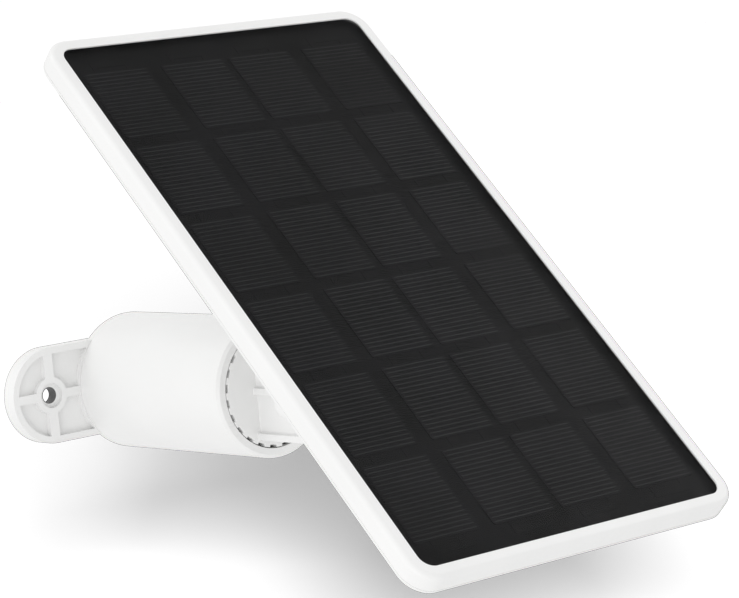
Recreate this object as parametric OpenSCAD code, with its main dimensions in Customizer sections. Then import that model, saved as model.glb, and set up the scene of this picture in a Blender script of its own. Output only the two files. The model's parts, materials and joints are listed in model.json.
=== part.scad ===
// Solar charging panel for an outdoor security camera, on an adjustable wall bracket.
// Millimetres, +Z up. The origin is the centre of the wall plate's back face, on the
// swivel axis. +X is to the right seen from in front and +Y points into the wall.

/* [Solar panel] */
// Width of the visible black face
face_w = 108; // [100:1:116]
// Height of the visible black face
face_h = 193; // [185:1:201]
// Width of the white border round the black face
border = 4; // [3.5:0.5:5]
// Radius of the panel's outer corners
corner_r = 8; // [7.5:0.5:10]
// Angle between the panel and the wall at rest
lean = 45; // [30:1:60]
// Columns of solar cells
cell_cols = 4; // [4:2:4]
// Rows of solar cells
cell_rows = 6; // [4:1:6]
// Width of one solar cell
cell_w = 22.3; // [18:0.1:22.5]
// Height of one solar cell
cell_h = 26.4; // [20:0.1:27]
// Gap between the two middle columns of cells
gap_middle = 2.1; // [1:0.1:3]
// Gap between an outer column of cells and its neighbour
gap_outer = 4.9; // [2:0.1:5]
// Gap between rows of cells
gap_rows = 3.5; // [1:0.1:4]

/* [Electronics box] */
// Width of the raised box on the panel's back
box_w = 72; // [70:1:80]
// Height of the raised box along the panel
box_h = 86; // [84:1:96]
// Depth of the raised box
box_d = 12; // [12:0.5:14]

/* [Bracket] */
// Diameter of the round swivel housing
housing_d = 41.4; // [41:0.2:44]
// Distance from the wall to the housing's front face
housing_reach = 73.5; // [70:0.5:80]
// Distance from the housing's front face to the tilt bolt
arm_reach = 28; // [26:0.5:34]
// Width of the arm over its flanges
arm_w = 15.4; // [14:0.2:16]
// Height of the arm over its flanges
arm_h = 28.6; // [26:0.2:30]
// Thickness of the arm's flanges
flange_t = 2; // [1.6:0.1:2.4]
// Distance from the tilt bolt to the panel's front face
standoff = 44.5; // [44:0.5:50]
// How far the panel's centre lies up its slope from the tilt bolt
centre_shift = 5.3; // [0:0.1:8]

/* [Wall plate] */
// Length of the wall plate over both ears
plate_len = 90.4; // [88:0.2:96]
// Height of the wall plate's ears
plate_h = 29; // [28:0.5:30]
// Thickness of the wall plate
plate_t = 5; // [4.8:0.1:6]
// Distance between the two wall screw holes
hole_spacing = 63; // [62:0.5:65]
// Diameter of the wall screw holes
hole_d = 4.8; // [4.2:0.1:5]

/* [Fasteners] */
// Diameter of the tilt bolt
bolt_d = 6; // [5:1:6]
// Teeth on the rim of the swivel disc
click_teeth = 24; // [12:12:24]

/* [Hidden] */
$fn = 96;

over = 0.01;                 // overshoot of a cut through a face
run_fit = 0.06;              // radial clearance of a shaft that turns in its bore
snug = 0.02;                 // radial clearance of a fastener in its thread
face_gap = 0.15;             // clearance between faces that slide past each other

// Panel layers, measured from the front of the black face towards the back
panel_w = face_w + 2 * border;
panel_h = face_h + 2 * border;
lip_t = 0.6;                 // the frame's lip stands this far in front of the face
lip_cover = 1.5;             // and covers this much of the sheet's edge
cover_t = 1.2;
cell_t = 0.2;
ribbon_t = 0.1;
board_t = 1.5;
gasket_t = 0.6;
shell_t = 1.5;
seam_z = -4.9;               // where the frame ends and the back shell begins
cell_z = -cover_t;
ribbon_z = cell_z - cell_t;
board_z = ribbon_z - ribbon_t;
gasket_z = board_z - board_t;
ledge_z = gasket_z - gasket_t;
back_z = seam_z - shell_t;
box_z = back_z - box_d;
wall_t = 2;                  // wall of the electronics box
floor_z = box_z + wall_t;    // inside floor of the electronics box
frame_wall = 2.2;
row_pitch = cell_h + gap_rows;
cells_h = cell_rows * cell_h + (cell_rows - 1) * gap_rows;
box_corner_r = 8;
box_edge_r = 3;

// Circuit board and its standoffs
pcb = [50, 30, 1.6];
pcb_post_h = 2.5;
pcb_z = floor_z + pcb_post_h;          // underside of the circuit board
pcb_top = pcb_z + pcb[2];
pcb_hole_inset = 4;
pcb_holes = [
    for (x = [-1, 1], y = [-1, 1])
        [x * (pcb[0] / 2 - pcb_hole_inset), y * (pcb[1] / 2 - pcb_hole_inset)]
];
pcb_post_r = 2.4;
pcb_screw_r = 1;
terminal_h = 5;

// Tilt bracket behind the electronics box
bracket_plate = [44, 58, 4];
bracket_corner_r = 6;
bracket_z = box_z - bracket_plate[2];
bracket_holes = [for (x = [-1, 1], y = [-1, 1]) [x * 16, y * 22]];
bracket_screw_r = 2;
insert_r = 2.9;
insert_h = 6;
insert_boss_wall = 1.6;
screw_play = 0.2;                      // radial clearance of a screw in a through hole
pad_t = 1;
ear_t = 4;
ear_in = arm_w / 2 + face_gap + pad_t; // inner face of each bracket ear
ear_out = ear_in + ear_t;
eye_r = 9;
bolt_r = bolt_d / 2;
washer_t = 1.2;
washer_r = 2.1 * bolt_r;
head_h = 5;
nut_h = 6;

// Cable gland in the lower wall of the electronics box
gland_z = (back_z + box_z) / 2 + 1;
gland_y = -box_h / 2;                  // outer face of the box's lower wall
gland_thread_r = 3.4;
gland_bore_r = 2.1;
gland_flange_r = 4.4;
gland_flange_t = 2;
gland_nose = 6;
gland_tail = 5;
seal_t = 0.6;
gland_nut_h = 3;
gland_nut_w = 7.8;                     // across flats

// Housing and swivel, measured from the wall
housing_r = housing_d / 2;
housing_wall = 2.5;
housing_in_r = housing_r - housing_wall;
rim_chamfer = 0.9;
base_edge_r = 4;
disc_t = 4;
disc_r = 17.45;
mouth_r = disc_r + 0.25;
notch_depth = 0.75;
notch_w = 2.4;
click_pitch = 360 / click_teeth;
disc_z = housing_reach - disc_t;       // back of the swivel disc
bush_flange_t = 1.2;
bush_flange_r = 14;
web_t = 4;
web_front = disc_z - 0.1 - bush_flange_t;
web_back = web_front - web_t;
groove_r = mouth_r + 0.55;
groove_w = 2.6;
ring_play = 0.2;                       // room before and behind the click ring in its groove
bush_r = 9.5;
stem_r = 8;
stem_end = 50;                         // free end of the stem, measured from the wall
thrust_t = 2;
bearing_t = 1.4;
spring_seat_r = 13;                    // outside of both washers that hold the spring
axle_r = 2.5;
stem_insert_r = 3.6;
stem_insert_h = 10;
spring_wire_r = 0.8;
spring_r = 10.4;                       // middle of the wire
spring_turns = 4.5;
spring_from = stem_end + spring_wire_r;
spring_to = web_back - bearing_t - 0.3 - spring_wire_r;

// Wall plate details
base_r = housing_r;
ear_r = plate_h / 2;
ear_x = plate_len / 2 - ear_r;
hole_x = hole_spacing / 2;
hole_r = hole_d / 2;
tray_floor = plate_t - 1.8;
tray_rim = 2;
tray_gap = 0.4;                        // width of solid left between a tray and the housing
ear_boss_r = 5.5;
counterbore_r = 3.8;
counterbore_d = 1.4;
rib_up_w = 3.2;
rib_across_w = 2.6;
shell_screw_r = 1.5;
shell_screw_len = 14;
shell_screw_seat = 2.4;                // underside of the heads, measured from the wall
shell_screw_at = 15;                   // distance of the housing screws from the axis
shell_boss_r = 3.6;
shell_boss_end = 22;
shell_boss_lift = 0.4;                 // gap between the bosses and the wall plate
screw_angles = [90, 210, 330];
register_h = 3;                        // spigot that centres the housing
register_wall = 1.9;
register_fit = 0.1;
shell_rim_w = 5;                       // width of the back shell's rounded rim

// Arm
web_x = arm_w / 2 - 1.4;               // outer face of the arm's side plates
side_t = 2.4;
knuckle_r = arm_h / 2;
hinge_out = housing_reach + arm_reach; // tilt axis, measured from the wall

WHITE = "#f1f1ef";
STEEL = "#b9bbbd";
BRASS = "#c9a227";
BLACK = "#1b1c1e";
DARK_CELL = "#25272b";

// ---------------------------------------------------------------- placement

// x right, y up, z straight out from the wall
module on_wall() {
    rotate([90, 0, 0])
        children();
}

// x right, y up the panel's slope, z out of its front; origin at the centre of the black face
module on_panel() {
    translate([0, -hinge_out, 0])
        rotate([90 - lean, 0, 0])
            translate([0, centre_shift, standoff])
                children();
}

// as on_panel, but centred on the electronics box, which sits straight over the tilt bolt
module on_box() {
    on_panel()
        translate([0, -centre_shift, 0])
            children();
}

// z along +X through the tilt bolt, seen in the panel's directions
module on_bolt() {
    on_box()
        translate([0, 0, -standoff])
            rotate([0, 90, 0])
                children();
}

module both_sides() {
    children();
    mirror([1, 0, 0])
        children();
}

module at_points(points) {
    for (p = points)
        translate(p)
            children();
}

// ---------------------------------------------------------------- shared shapes

module rounded_rect(w, h, r) {
    square([w - 2 * r, h], center = true);
    square([w, h - 2 * r], center = true);
    for (x = [-1, 1], y = [-1, 1])
        translate([x * (w / 2 - r), y * (h / 2 - r)])
            circle(r);
}

module rounded_plate(w, h, r, t) {
    linear_extrude(t)
        rounded_rect(w, h, r);
}

// Sweeps a section round a rectangle w by h. The section's x is the distance from the
// corner's centre, so x = r lies on the outline, and its y is the height.
module swept_ring(w, h, r) {
    for (side = [0, 1])
        rotate(side * 180) {
            translate([w / 2 - r, (h / 2 - r), 0])
                rotate([90, 0, 0])
                    linear_extrude(h - 2 * r)
                        children();
            translate([-(w / 2 - r), h / 2 - r, 0])
                rotate([90, 0, 90])
                    linear_extrude(w - 2 * r)
                        children();
            translate([w / 2 - r, h / 2 - r, 0])
                rotate_extrude(angle = 90)
                    children();
            translate([-(w / 2 - r), h / 2 - r, 0])
                rotate(90)
                    rotate_extrude(angle = 90)
                        children();
        }
}

module tube(r_out, r_in, h) {
    difference() {
        cylinder(r = r_out, h = h);
        translate([0, 0, -over])
            cylinder(r = r_in, h = h + 2 * over);
    }
}

module hex_prism(across_flats, h) {
    cylinder(d = across_flats / cos(30), h = h, $fn = 6);
}

// A screw along +z with the underside of its head at z = 0 and the head below it
module pan_screw(r, length, head_r, head_h, slot_w) {
    difference() {
        union() {
            translate([0, 0, -head_h / 2])
                cylinder(r = r, h = length + head_h / 2);
            translate([0, 0, -head_h])
                cylinder(r = head_r, h = head_h);
        }
        for (turn = [0, 90])
            rotate(turn)
                translate([-head_r * 0.6, -slot_w / 2, -head_h - over])
                    cube([head_r * 1.2, slot_w, head_h * 0.5]);
    }
}

// ---------------------------------------------------------------- wall bracket

module wall_base() {
    rotate_extrude()
        intersection() {
            union() {
                square([base_r - base_edge_r, plate_t]);
                translate([base_r - base_edge_r, base_edge_r])
                    circle(base_edge_r);
                translate([0, base_edge_r])
                    square([base_r, plate_t]);
            }
            square([base_r, plate_t]);
        }
}

module ear_outline(inset) {
    translate([ear_x, 0])
        circle(ear_r - inset);
    translate([0, inset - ear_r])
        square([ear_x, 2 * (ear_r - inset)]);
}

module wall_ear() {
    difference() {
        linear_extrude(plate_t)
            ear_outline(0);
        difference() {
            translate([0, 0, tray_floor])
                linear_extrude(plate_t)
                    difference() {
                        ear_outline(tray_rim);
                        translate([hole_x, 0])
                            circle(ear_boss_r);
                        translate([hole_x, 0])
                            square([rib_up_w, plate_h], center = true);
                        translate([0, -rib_across_w / 2])
                            square([plate_len, rib_across_w]);
                    }
            cylinder(r = base_r + tray_gap, h = 2 * plate_t);
        }
        translate([hole_x, 0, -over])
            cylinder(r = hole_r, h = plate_t + 1);
        translate([hole_x, 0, plate_t - counterbore_d])
            cylinder(r = counterbore_r, h = plate_t);
    }
}

module wall_plate() {
    color(WHITE)
        on_wall()
            difference() {
                union() {
                    wall_base();
                    both_sides()
                        wall_ear();
                    translate([0, 0, plate_t - over])
                        tube(housing_in_r - register_fit, housing_in_r - register_fit - register_wall,
                             register_h + over);
                }
                for (a = screw_angles)
                    rotate(a)
                        translate([shell_screw_at, 0, 0]) {
                            translate([0, 0, -over])
                                cylinder(r = shell_screw_r + screw_play, h = plate_t + 1);
                            translate([0, 0, -over])
                                cylinder(r = 2.2 * shell_screw_r, h = shell_screw_seat + over);
                            translate([0, 0, plate_t + shell_boss_lift / 2])
                                cylinder(r = shell_boss_r + 0.3, h = register_h + 1);
                        }
            }
}

module housing_screws() {
    color(STEEL)
        on_wall()
            for (a = screw_angles)
                rotate(a)
                    translate([shell_screw_at, 0, shell_screw_seat])
                        pan_screw(shell_screw_r, shell_screw_len, 2 * shell_screw_r, 2, 0.8);
}

module housing() {
    color(WHITE)
        on_wall()
            difference() {
                union() {
                    rotate_extrude()
                        polygon([
                            [housing_in_r, plate_t],
                            [housing_r, plate_t],
                            [housing_r, housing_reach - rim_chamfer],
                            [housing_r - rim_chamfer, housing_reach],
                            [mouth_r, housing_reach],
                            [mouth_r, web_front + groove_w],
                            [groove_r, web_front + groove_w],
                            [groove_r, web_front],
                            [bush_r, web_front],
                            [bush_r, web_back],
                            [housing_in_r, web_back]
                        ]);
                    for (a = screw_angles)
                        rotate(a)
                            translate([shell_screw_at, 0, plate_t + shell_boss_lift])
                                cylinder(r = shell_boss_r, h = shell_boss_end - plate_t - shell_boss_lift);
                }
                for (a = screw_angles)
                    rotate(a)
                        translate([shell_screw_at, 0, plate_t])
                            cylinder(r = shell_screw_r + snug, h = shell_screw_len - 1);
            }
}

module bearing_bush() {
    color("#e4e2da")
        on_wall()
            rotate_extrude()
                polygon([
                    [stem_r + run_fit, web_back],
                    [bush_r - snug, web_back],
                    [bush_r - snug, web_front],
                    [bush_flange_r, web_front],
                    [bush_flange_r, web_front + bush_flange_t],
                    [stem_r + run_fit, web_front + bush_flange_t]
                ]);
}

module bearing_washer() {
    color(STEEL)
        on_wall()
            translate([0, 0, web_back - bearing_t])
                tube(spring_seat_r, stem_r + 0.3, bearing_t);
}

// Open spring ring with three noses that ride over the teeth of the swivel disc
module click_ring() {
    nose_r = 0.3;
    band = [mouth_r + 0.1, groove_r - 0.05];
    color("#8f9194")
        on_wall()
            translate([0, 0, web_front + ring_play])
                linear_extrude(groove_w - 2 * ring_play)
                    difference() {
                        union() {
                            difference() {
                                circle(band[1]);
                                circle(band[0]);
                            }
                            for (a = [30, 150, 270])
                                rotate(a)
                                    translate([band[0] + 0.05, 0])
                                        circle(nose_r);
                        }
                        translate([0, groove_r])
                            square([4, 6], center = true);
                    }
}

// ---------------------------------------------------------------- swivel

module swivel_disc() {
    difference() {
        translate([0, 0, disc_z])
            cylinder(r = disc_r, h = disc_t);
        for (i = [0 : click_teeth - 1])
            rotate((i + 0.5) * click_pitch)
                translate([disc_r, 0, disc_z + disc_t / 2])
                    cube([2 * notch_depth, notch_w, disc_t + 1], center = true);
    }
}

// Side view of the arm: x along its length from the wall, y up
module arm_side() {
    translate([disc_z + disc_t / 2, -knuckle_r])
        square([hinge_out - disc_z - disc_t / 2, arm_h]);
    translate([hinge_out, 0])
        circle(knuckle_r);
}

module arm_beam() {
    flange_len = hinge_out - disc_z - disc_t / 2;
    both_sides()
        translate([web_x, 0, 0])
            rotate([0, -90, 0])
                linear_extrude(side_t)
                    arm_side();
    for (y = [-knuckle_r, -flange_t / 2, knuckle_r - flange_t])
        translate([-arm_w / 2, y, disc_z + disc_t / 2])
            cube([arm_w, flange_t, flange_len]);
    translate([-arm_w / 2, 0, hinge_out])
        rotate([0, 90, 0])
            cylinder(r = eye_r, h = arm_w);
}

module swivel_arm() {
    color(WHITE)
        on_wall()
            difference() {
                union() {
                    swivel_disc();
                    arm_beam();
                    translate([0, 0, stem_end])
                        cylinder(r = stem_r, h = disc_z - stem_end + over);
                }
                translate([-arm_w, 0, hinge_out])
                    rotate([0, 90, 0])
                        cylinder(r = bolt_r + run_fit, h = 2 * arm_w);
                translate([0, 0, stem_end - over])
                    cylinder(r = stem_insert_r + snug, h = stem_insert_h + 2);
            }
}

module stem_insert() {
    color(BRASS)
        on_wall()
            translate([0, 0, stem_end])
                tube(stem_insert_r, axle_r + snug, stem_insert_h);
}

module thrust_washer() {
    color(STEEL)
        on_wall()
            translate([0, 0, stem_end - thrust_t])
                tube(spring_seat_r, axle_r + screw_play, thrust_t);
}

module axle_screw() {
    color(STEEL)
        on_wall()
            translate([0, 0, stem_end - thrust_t])
                pan_screw(axle_r, thrust_t + stem_insert_h, 2 * axle_r, 3, 1.2);
}

// Points of a round wire's section at one place along the coil
function coil_point(turn, side, sides) =
    let (around = 360 * turn, section = 360 * side / sides)
    let (r = spring_r + spring_wire_r * cos(section))
    [
        r * cos(around),
        r * sin(around),
        spring_from + (spring_to - spring_from) * turn / spring_turns + spring_wire_r * sin(section)
    ];

module clutch_spring() {
    sides = 8;
    steps = 20 * spring_turns;
    points = [
        for (i = [0 : steps], s = [0 : sides - 1])
            coil_point(spring_turns * i / steps, s, sides)
    ];
    skin = [
        for (i = [0 : steps - 1], s = [0 : sides - 1])
            let (a = i * sides + s, b = i * sides + (s + 1) % sides)
            [a, a + sides, b + sides, b]
    ];
    first_cap = [[for (s = [0 : sides - 1]) s]];
    last_cap = [[for (s = [0 : sides - 1]) steps * sides + sides - 1 - s]];
    color(STEEL)
        on_wall()
            polyhedron(points, concat(skin, first_cap, last_cap));
}

// ---------------------------------------------------------------- tilt bracket

// One ear of the bracket in side view: x up the slope, y out of the panel's front
module bracket_ear_side() {
    root = 15;
    neck = 2;
    polygon([
        [-root, bracket_z + over],
        [root, bracket_z + over],
        [eye_r, neck - standoff],
        [eye_r, -standoff],
        [-eye_r, -standoff],
        [-eye_r, neck - standoff]
    ]);
    translate([0, -standoff])
        circle(eye_r);
}

module bracket_gusset() {
    reach = 6;
    depth = 10;
    thickness = 3;
    translate([ear_out - over, thickness / 2, bracket_z + over])
        rotate([90, 0, 0])
            linear_extrude(thickness)
                polygon([[0, 0], [reach, 0], [0, -depth]]);
}

module panel_bracket() {
    color(WHITE)
        difference() {
            on_box() {
                difference() {
                    translate([0, 0, bracket_z])
                        rounded_plate(bracket_plate[0], bracket_plate[1], bracket_corner_r,
                                      bracket_plate[2]);
                    at_points(bracket_holes)
                        translate([0, 0, bracket_z - over])
                            cylinder(r = bracket_screw_r + screw_play, h = bracket_plate[2] + 2 * over);
                }
                both_sides() {
                    translate([ear_in, 0, 0])
                        rotate([90, 0, 90])
                            linear_extrude(ear_t)
                                bracket_ear_side();
                    for (y = [-10, 10])
                        translate([0, y, 0])
                            bracket_gusset();
                }
            }
            on_bolt()
                cylinder(r = bolt_r + snug, h = 4 * ear_out, center = true);
        }
}

module bracket_screws() {
    color(STEEL)
        on_box()
            at_points(bracket_holes)
                translate([0, 0, bracket_z])
                    pan_screw(bracket_screw_r, bracket_plate[2] + insert_h, 3.6, 2.4, 1);
}

module bracket_inserts() {
    color(BRASS)
        on_box()
            at_points(bracket_holes)
                translate([0, 0, box_z])
                    tube(insert_r, bracket_screw_r + snug, insert_h);
}

module friction_pads() {
    color("#3a3b3d")
        on_bolt()
            for (z = [-ear_in, ear_in - pad_t])
                translate([0, 0, z])
                    tube(eye_r - 0.5, bolt_r + snug, pad_t);
}

module tilt_washers() {
    color(WHITE)
        on_bolt()
            for (z = [-ear_out - washer_t, ear_out])
                translate([0, 0, z])
                    tube(washer_r, bolt_r + screw_play, washer_t);
}

module tilt_bolt() {
    under_head = ear_out + washer_t;
    color(WHITE)
        on_bolt()
            difference() {
                union() {
                    translate([0, 0, -under_head - head_h / 4])
                        cylinder(r = bolt_r, h = 2 * under_head + head_h / 4 + nut_h + 1.5);
                    translate([0, 0, -under_head - head_h])
                        cylinder(r = bolt_d * 0.8, h = head_h);
                }
                translate([0, 0, -under_head - head_h - over])
                    hex_prism(5, 3);
            }
}

module tilt_nut() {
    color(WHITE)
        on_bolt()
            translate([0, 0, ear_out + washer_t])
                difference() {
                    hex_prism(10, nut_h);
                    translate([0, 0, -over])
                        cylinder(r = bolt_r + snug, h = nut_h + 2 * over);
                }
}

// ---------------------------------------------------------------- panel

// Section of the frame: an outer wall with a rounded front edge and a lip over the sheet
module frame_section() {
    round_r = 1.6;
    inner = corner_r - border;
    difference() {
        union() {
            translate([inner, seam_z])
                square([border - round_r, lip_t - seam_z]);
            translate([inner, seam_z])
                square([border, lip_t - seam_z - round_r]);
            translate([corner_r - round_r, lip_t - round_r])
                circle(round_r);
        }
        translate([inner - over, seam_z - over])
            square([border - frame_wall + over, -seam_z + over]);
    }
}

module front_frame() {
    color(WHITE)
        on_panel()
            swept_ring(panel_w, panel_h, corner_r)
                frame_section();
}

module cover_sheet() {
    color("#2a2c30", 0.6)
        on_panel()
            translate([0, 0, -cover_t])
                rounded_plate(face_w + 2 * lip_cover, face_h + 2 * lip_cover,
                              corner_r - border + lip_cover, cover_t);
}

function column_x(i) =
    (i < 2 ? -1 : 1) * ((gap_middle + cell_w) / 2 + (i == 0 || i == 3 ? cell_w + gap_outer : 0));

module solar_cells() {
    color(DARK_CELL)
        on_panel()
            for (i = [0 : cell_cols - 1], j = [0 : cell_rows - 1])
                translate([column_x(i), (j - (cell_rows - 1) / 2) * row_pitch, ribbon_z + cell_t / 2])
                    cube([cell_w, cell_h, cell_t], center = true);
}

// Black-coated ribbons: two under every column, joined in series at the ends
module cell_ribbons() {
    ribbon_w = 1.5;
    link_w = 2.5;
    quarter = cell_w / 4;
    color(BLACK)
        on_panel()
            for (i = [0 : cell_cols - 1])
                translate([column_x(i), 0, board_z])
                    linear_extrude(ribbon_t) {
                        for (x = [-quarter, quarter])
                            translate([x, 0])
                                square([ribbon_w, cells_h + 6], center = true);
                        for (y = [-1, 1])
                            translate([0, y * (cells_h / 2 + 3)])
                                square([2 * quarter + ribbon_w, link_w], center = true);
                    }
}

module backing_board() {
    color(BLACK)
        on_panel()
            translate([0, 0, gasket_z])
                rounded_plate(face_w + 2 * lip_cover, face_h + 2 * lip_cover,
                              corner_r - border + lip_cover, board_t);
}

module edge_gasket() {
    color("#303133")
        on_panel()
            swept_ring(panel_w, panel_h, corner_r)
                translate([corner_r - border - 0.4, ledge_z])
                    square([1.6, gasket_t]);
}

// Section of the back shell's rim, with a rounded back edge and a ledge inside the frame
module shell_rim_section() {
    round_r = 1.2;
    inner = corner_r - shell_rim_w;
    translate([inner, back_z])
        square([shell_rim_w - round_r, shell_t]);
    translate([inner, back_z + round_r])
        square([shell_rim_w, shell_t - round_r]);
    intersection() {
        translate([corner_r - round_r, back_z + round_r])
            circle(round_r);
        translate([inner, back_z])
            square([shell_rim_w, shell_t]);
    }
    translate([corner_r - border - 0.4, seam_z - over])
        square([border - frame_wall + 0.3, ledge_z - seam_z + over]);
}

module box_rim_section() {
    translate([box_corner_r - wall_t, box_z + box_edge_r])
        square([wall_t, box_d - box_edge_r + over]);
    intersection() {
        translate([box_corner_r - box_edge_r, box_z + box_edge_r])
            difference() {
                circle(box_edge_r);
                circle(box_edge_r - wall_t);
            }
        translate([box_corner_r - box_edge_r, box_z])
            square(box_edge_r);
    }
}

module shell_ribs() {
    rib_w = 1.2;
    rib_h = 1.6;
    rib_rows = [-72, -56, 56, 72];
    short_of = 2;
    for (x = [-1, 1])
        translate([x * face_w / 3 - rib_w / 2, short_of - face_h / 2, seam_z - over])
            cube([rib_w, face_h - 2 * short_of, rib_h + over]);
    for (y = rib_rows)
        translate([short_of - face_w / 2, y - rib_w / 2, seam_z - over])
            cube([face_w - 2 * short_of, rib_w, rib_h + over]);
}

module shell_plate() {
    difference() {
        translate([0, 0, back_z])
            rounded_plate(panel_w - 2 * shell_rim_w + 2 * over, panel_h - 2 * shell_rim_w + 2 * over,
                          corner_r - shell_rim_w, shell_t);
        translate([0, -centre_shift, back_z - over])
            rounded_plate(box_w - 2 * wall_t, box_h - 2 * wall_t, box_corner_r - wall_t,
                          shell_t + 2 * over);
    }
}

module electronics_box() {
    swept_ring(box_w, box_h, box_corner_r)
        box_rim_section();
    translate([0, 0, box_z])
        rounded_plate(box_w - 2 * box_edge_r + over, box_h - 2 * box_edge_r + over,
                      box_corner_r - box_edge_r, wall_t);
    at_points(bracket_holes)
        translate([0, 0, box_z])
            cylinder(r = insert_r + insert_boss_wall, h = insert_h + 1);
    at_points(pcb_holes)
        translate([0, 0, floor_z - over])
            cylinder(r = pcb_post_r, h = pcb_post_h + over);
}

module back_shell() {
    color(WHITE)
        on_panel()
            difference() {
                union() {
                    swept_ring(panel_w, panel_h, corner_r)
                        shell_rim_section();
                    shell_plate();
                    shell_ribs();
                    translate([0, -centre_shift, 0])
                        electronics_box();
                }
                translate([0, -centre_shift, 0]) {
                    at_points(bracket_holes)
                        translate([0, 0, box_z - over])
                            cylinder(r = insert_r + snug, h = insert_h + over);
                    at_points(pcb_holes)
                        translate([0, 0, floor_z + over])
                            cylinder(r = pcb_screw_r + snug, h = pcb_post_h);
                    translate([0, gland_y - over, gland_z])
                        rotate([-90, 0, 0])
                            cylinder(r = gland_thread_r + snug, h = wall_t + 1);
                }
            }
}

// ---------------------------------------------------------------- electronics

module circuit_board() {
    color("#1f6b3a")
        on_box()
            translate([0, 0, pcb_z])
                difference() {
                    rounded_plate(pcb[0], pcb[1], 2, pcb[2]);
                    at_points(pcb_holes)
                        translate([0, 0, -over])
                            cylinder(r = pcb_screw_r + snug, h = pcb[2] + 2 * over);
                }
}

module board_screws() {
    color(STEEL)
        on_box()
            at_points(pcb_holes)
                translate([0, 0, pcb_top])
                    rotate([180, 0, 0])
                        pan_screw(pcb_screw_r, 3.6, 1.9, 1.1, 0.5);
}

// Width, length and height of each boxed component, its corner radius and its place
inductor = [10, 10, 4.5, 2, [-9, 2]];
controller = [8, 6, 1.6, 0.5, [2, -9]];
diode = [5, 3, 2.2, 0.4, [-10, -10]];
terminal = [6, 8, terminal_h, 0.5, [17, -2]];
capacitor_r = 3.1;
capacitor_h = 5.4;
capacitors = [[3, 5], [11, 5]];

module board_parts() {
    color("#2b2b2e")
        on_box()
            translate([0, 0, pcb_top]) {
                for (part = [inductor, controller, diode, terminal])
                    translate(part[4])
                        rounded_plate(part[0], part[1], part[3], part[2]);
                at_points(capacitors)
                    cylinder(r = capacitor_r, h = capacitor_h);
            }
}

// Two leads from the backing board down to the terminal, with a round elbow at both turns
module lead_wires() {
    wire_r = 0.65;
    wire_pitch = 3.2;
    run = 13;
    from_z = pcb_top + terminal_h;
    top = gasket_z - from_z;
    turn_z = top / 2;
    colours = ["#b3261e", "#1a1a1a"];
    for (i = [0, 1])
        color(colours[i])
            on_box()
                translate([terminal[4][0], terminal[4][1] + (i - 0.5) * wire_pitch, from_z]) {
                    cylinder(r = wire_r, h = turn_z);
                    translate([0, 0, turn_z])
                        sphere(wire_r);
                    translate([-run, 0, turn_z])
                        rotate([0, 90, 0])
                            cylinder(r = wire_r, h = run);
                    translate([-run, 0, turn_z])
                        sphere(wire_r);
                    translate([-run, 0, turn_z])
                        cylinder(r = wire_r, h = top - turn_z);
                }
}

module on_gland() {
    on_box()
        translate([0, gland_y, gland_z])
            rotate([90, 0, 0])
                children();
}

module cable_gland() {
    color("#e9e9e6")
        on_gland()
            rotate_extrude()
                polygon([
                    [gland_bore_r, -wall_t - gland_tail],
                    [gland_thread_r, -wall_t - gland_tail],
                    [gland_thread_r, seal_t],
                    [gland_flange_r, seal_t],
                    [gland_flange_r, gland_flange_t],
                    [gland_thread_r + 0.5, gland_flange_t + 0.6],
                    [gland_bore_r + 0.9, gland_flange_t + gland_nose],
                    [gland_bore_r, gland_flange_t + gland_nose]
                ]);
}

module gland_nut() {
    color("#e9e9e6")
        on_gland()
            translate([0, 0, -wall_t - gland_nut_h])
                difference() {
                    hex_prism(gland_nut_w, gland_nut_h);
                    translate([0, 0, -over])
                        cylinder(r = gland_thread_r + snug, h = gland_nut_h + 2 * over);
                }
}

module gland_seal() {
    color("#2e2e30")
        on_gland()
            tube(gland_flange_r - 0.1, gland_thread_r + 2 * snug, seal_t);
}

wall_plate();
housing();
housing_screws();
bearing_bush();
bearing_washer();
click_ring();
swivel_arm();
stem_insert();
axle_screw();
thrust_washer();
clutch_spring();
panel_bracket();
bracket_screws();
bracket_inserts();
friction_pads();
tilt_bolt();
tilt_nut();
tilt_washers();
back_shell();
front_frame();
cover_sheet();
solar_cells();
cell_ribbons();
backing_board();
edge_gasket();
circuit_board();
board_parts();
board_screws();
lead_wires();
cable_gland();
gland_nut();
gland_seal();
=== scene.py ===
"""Looks for the solar charging panel and its wall bracket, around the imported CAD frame."""

import json
import math
import random

import bmesh
import bpy
from mathutils import Matrix, Vector

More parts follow.
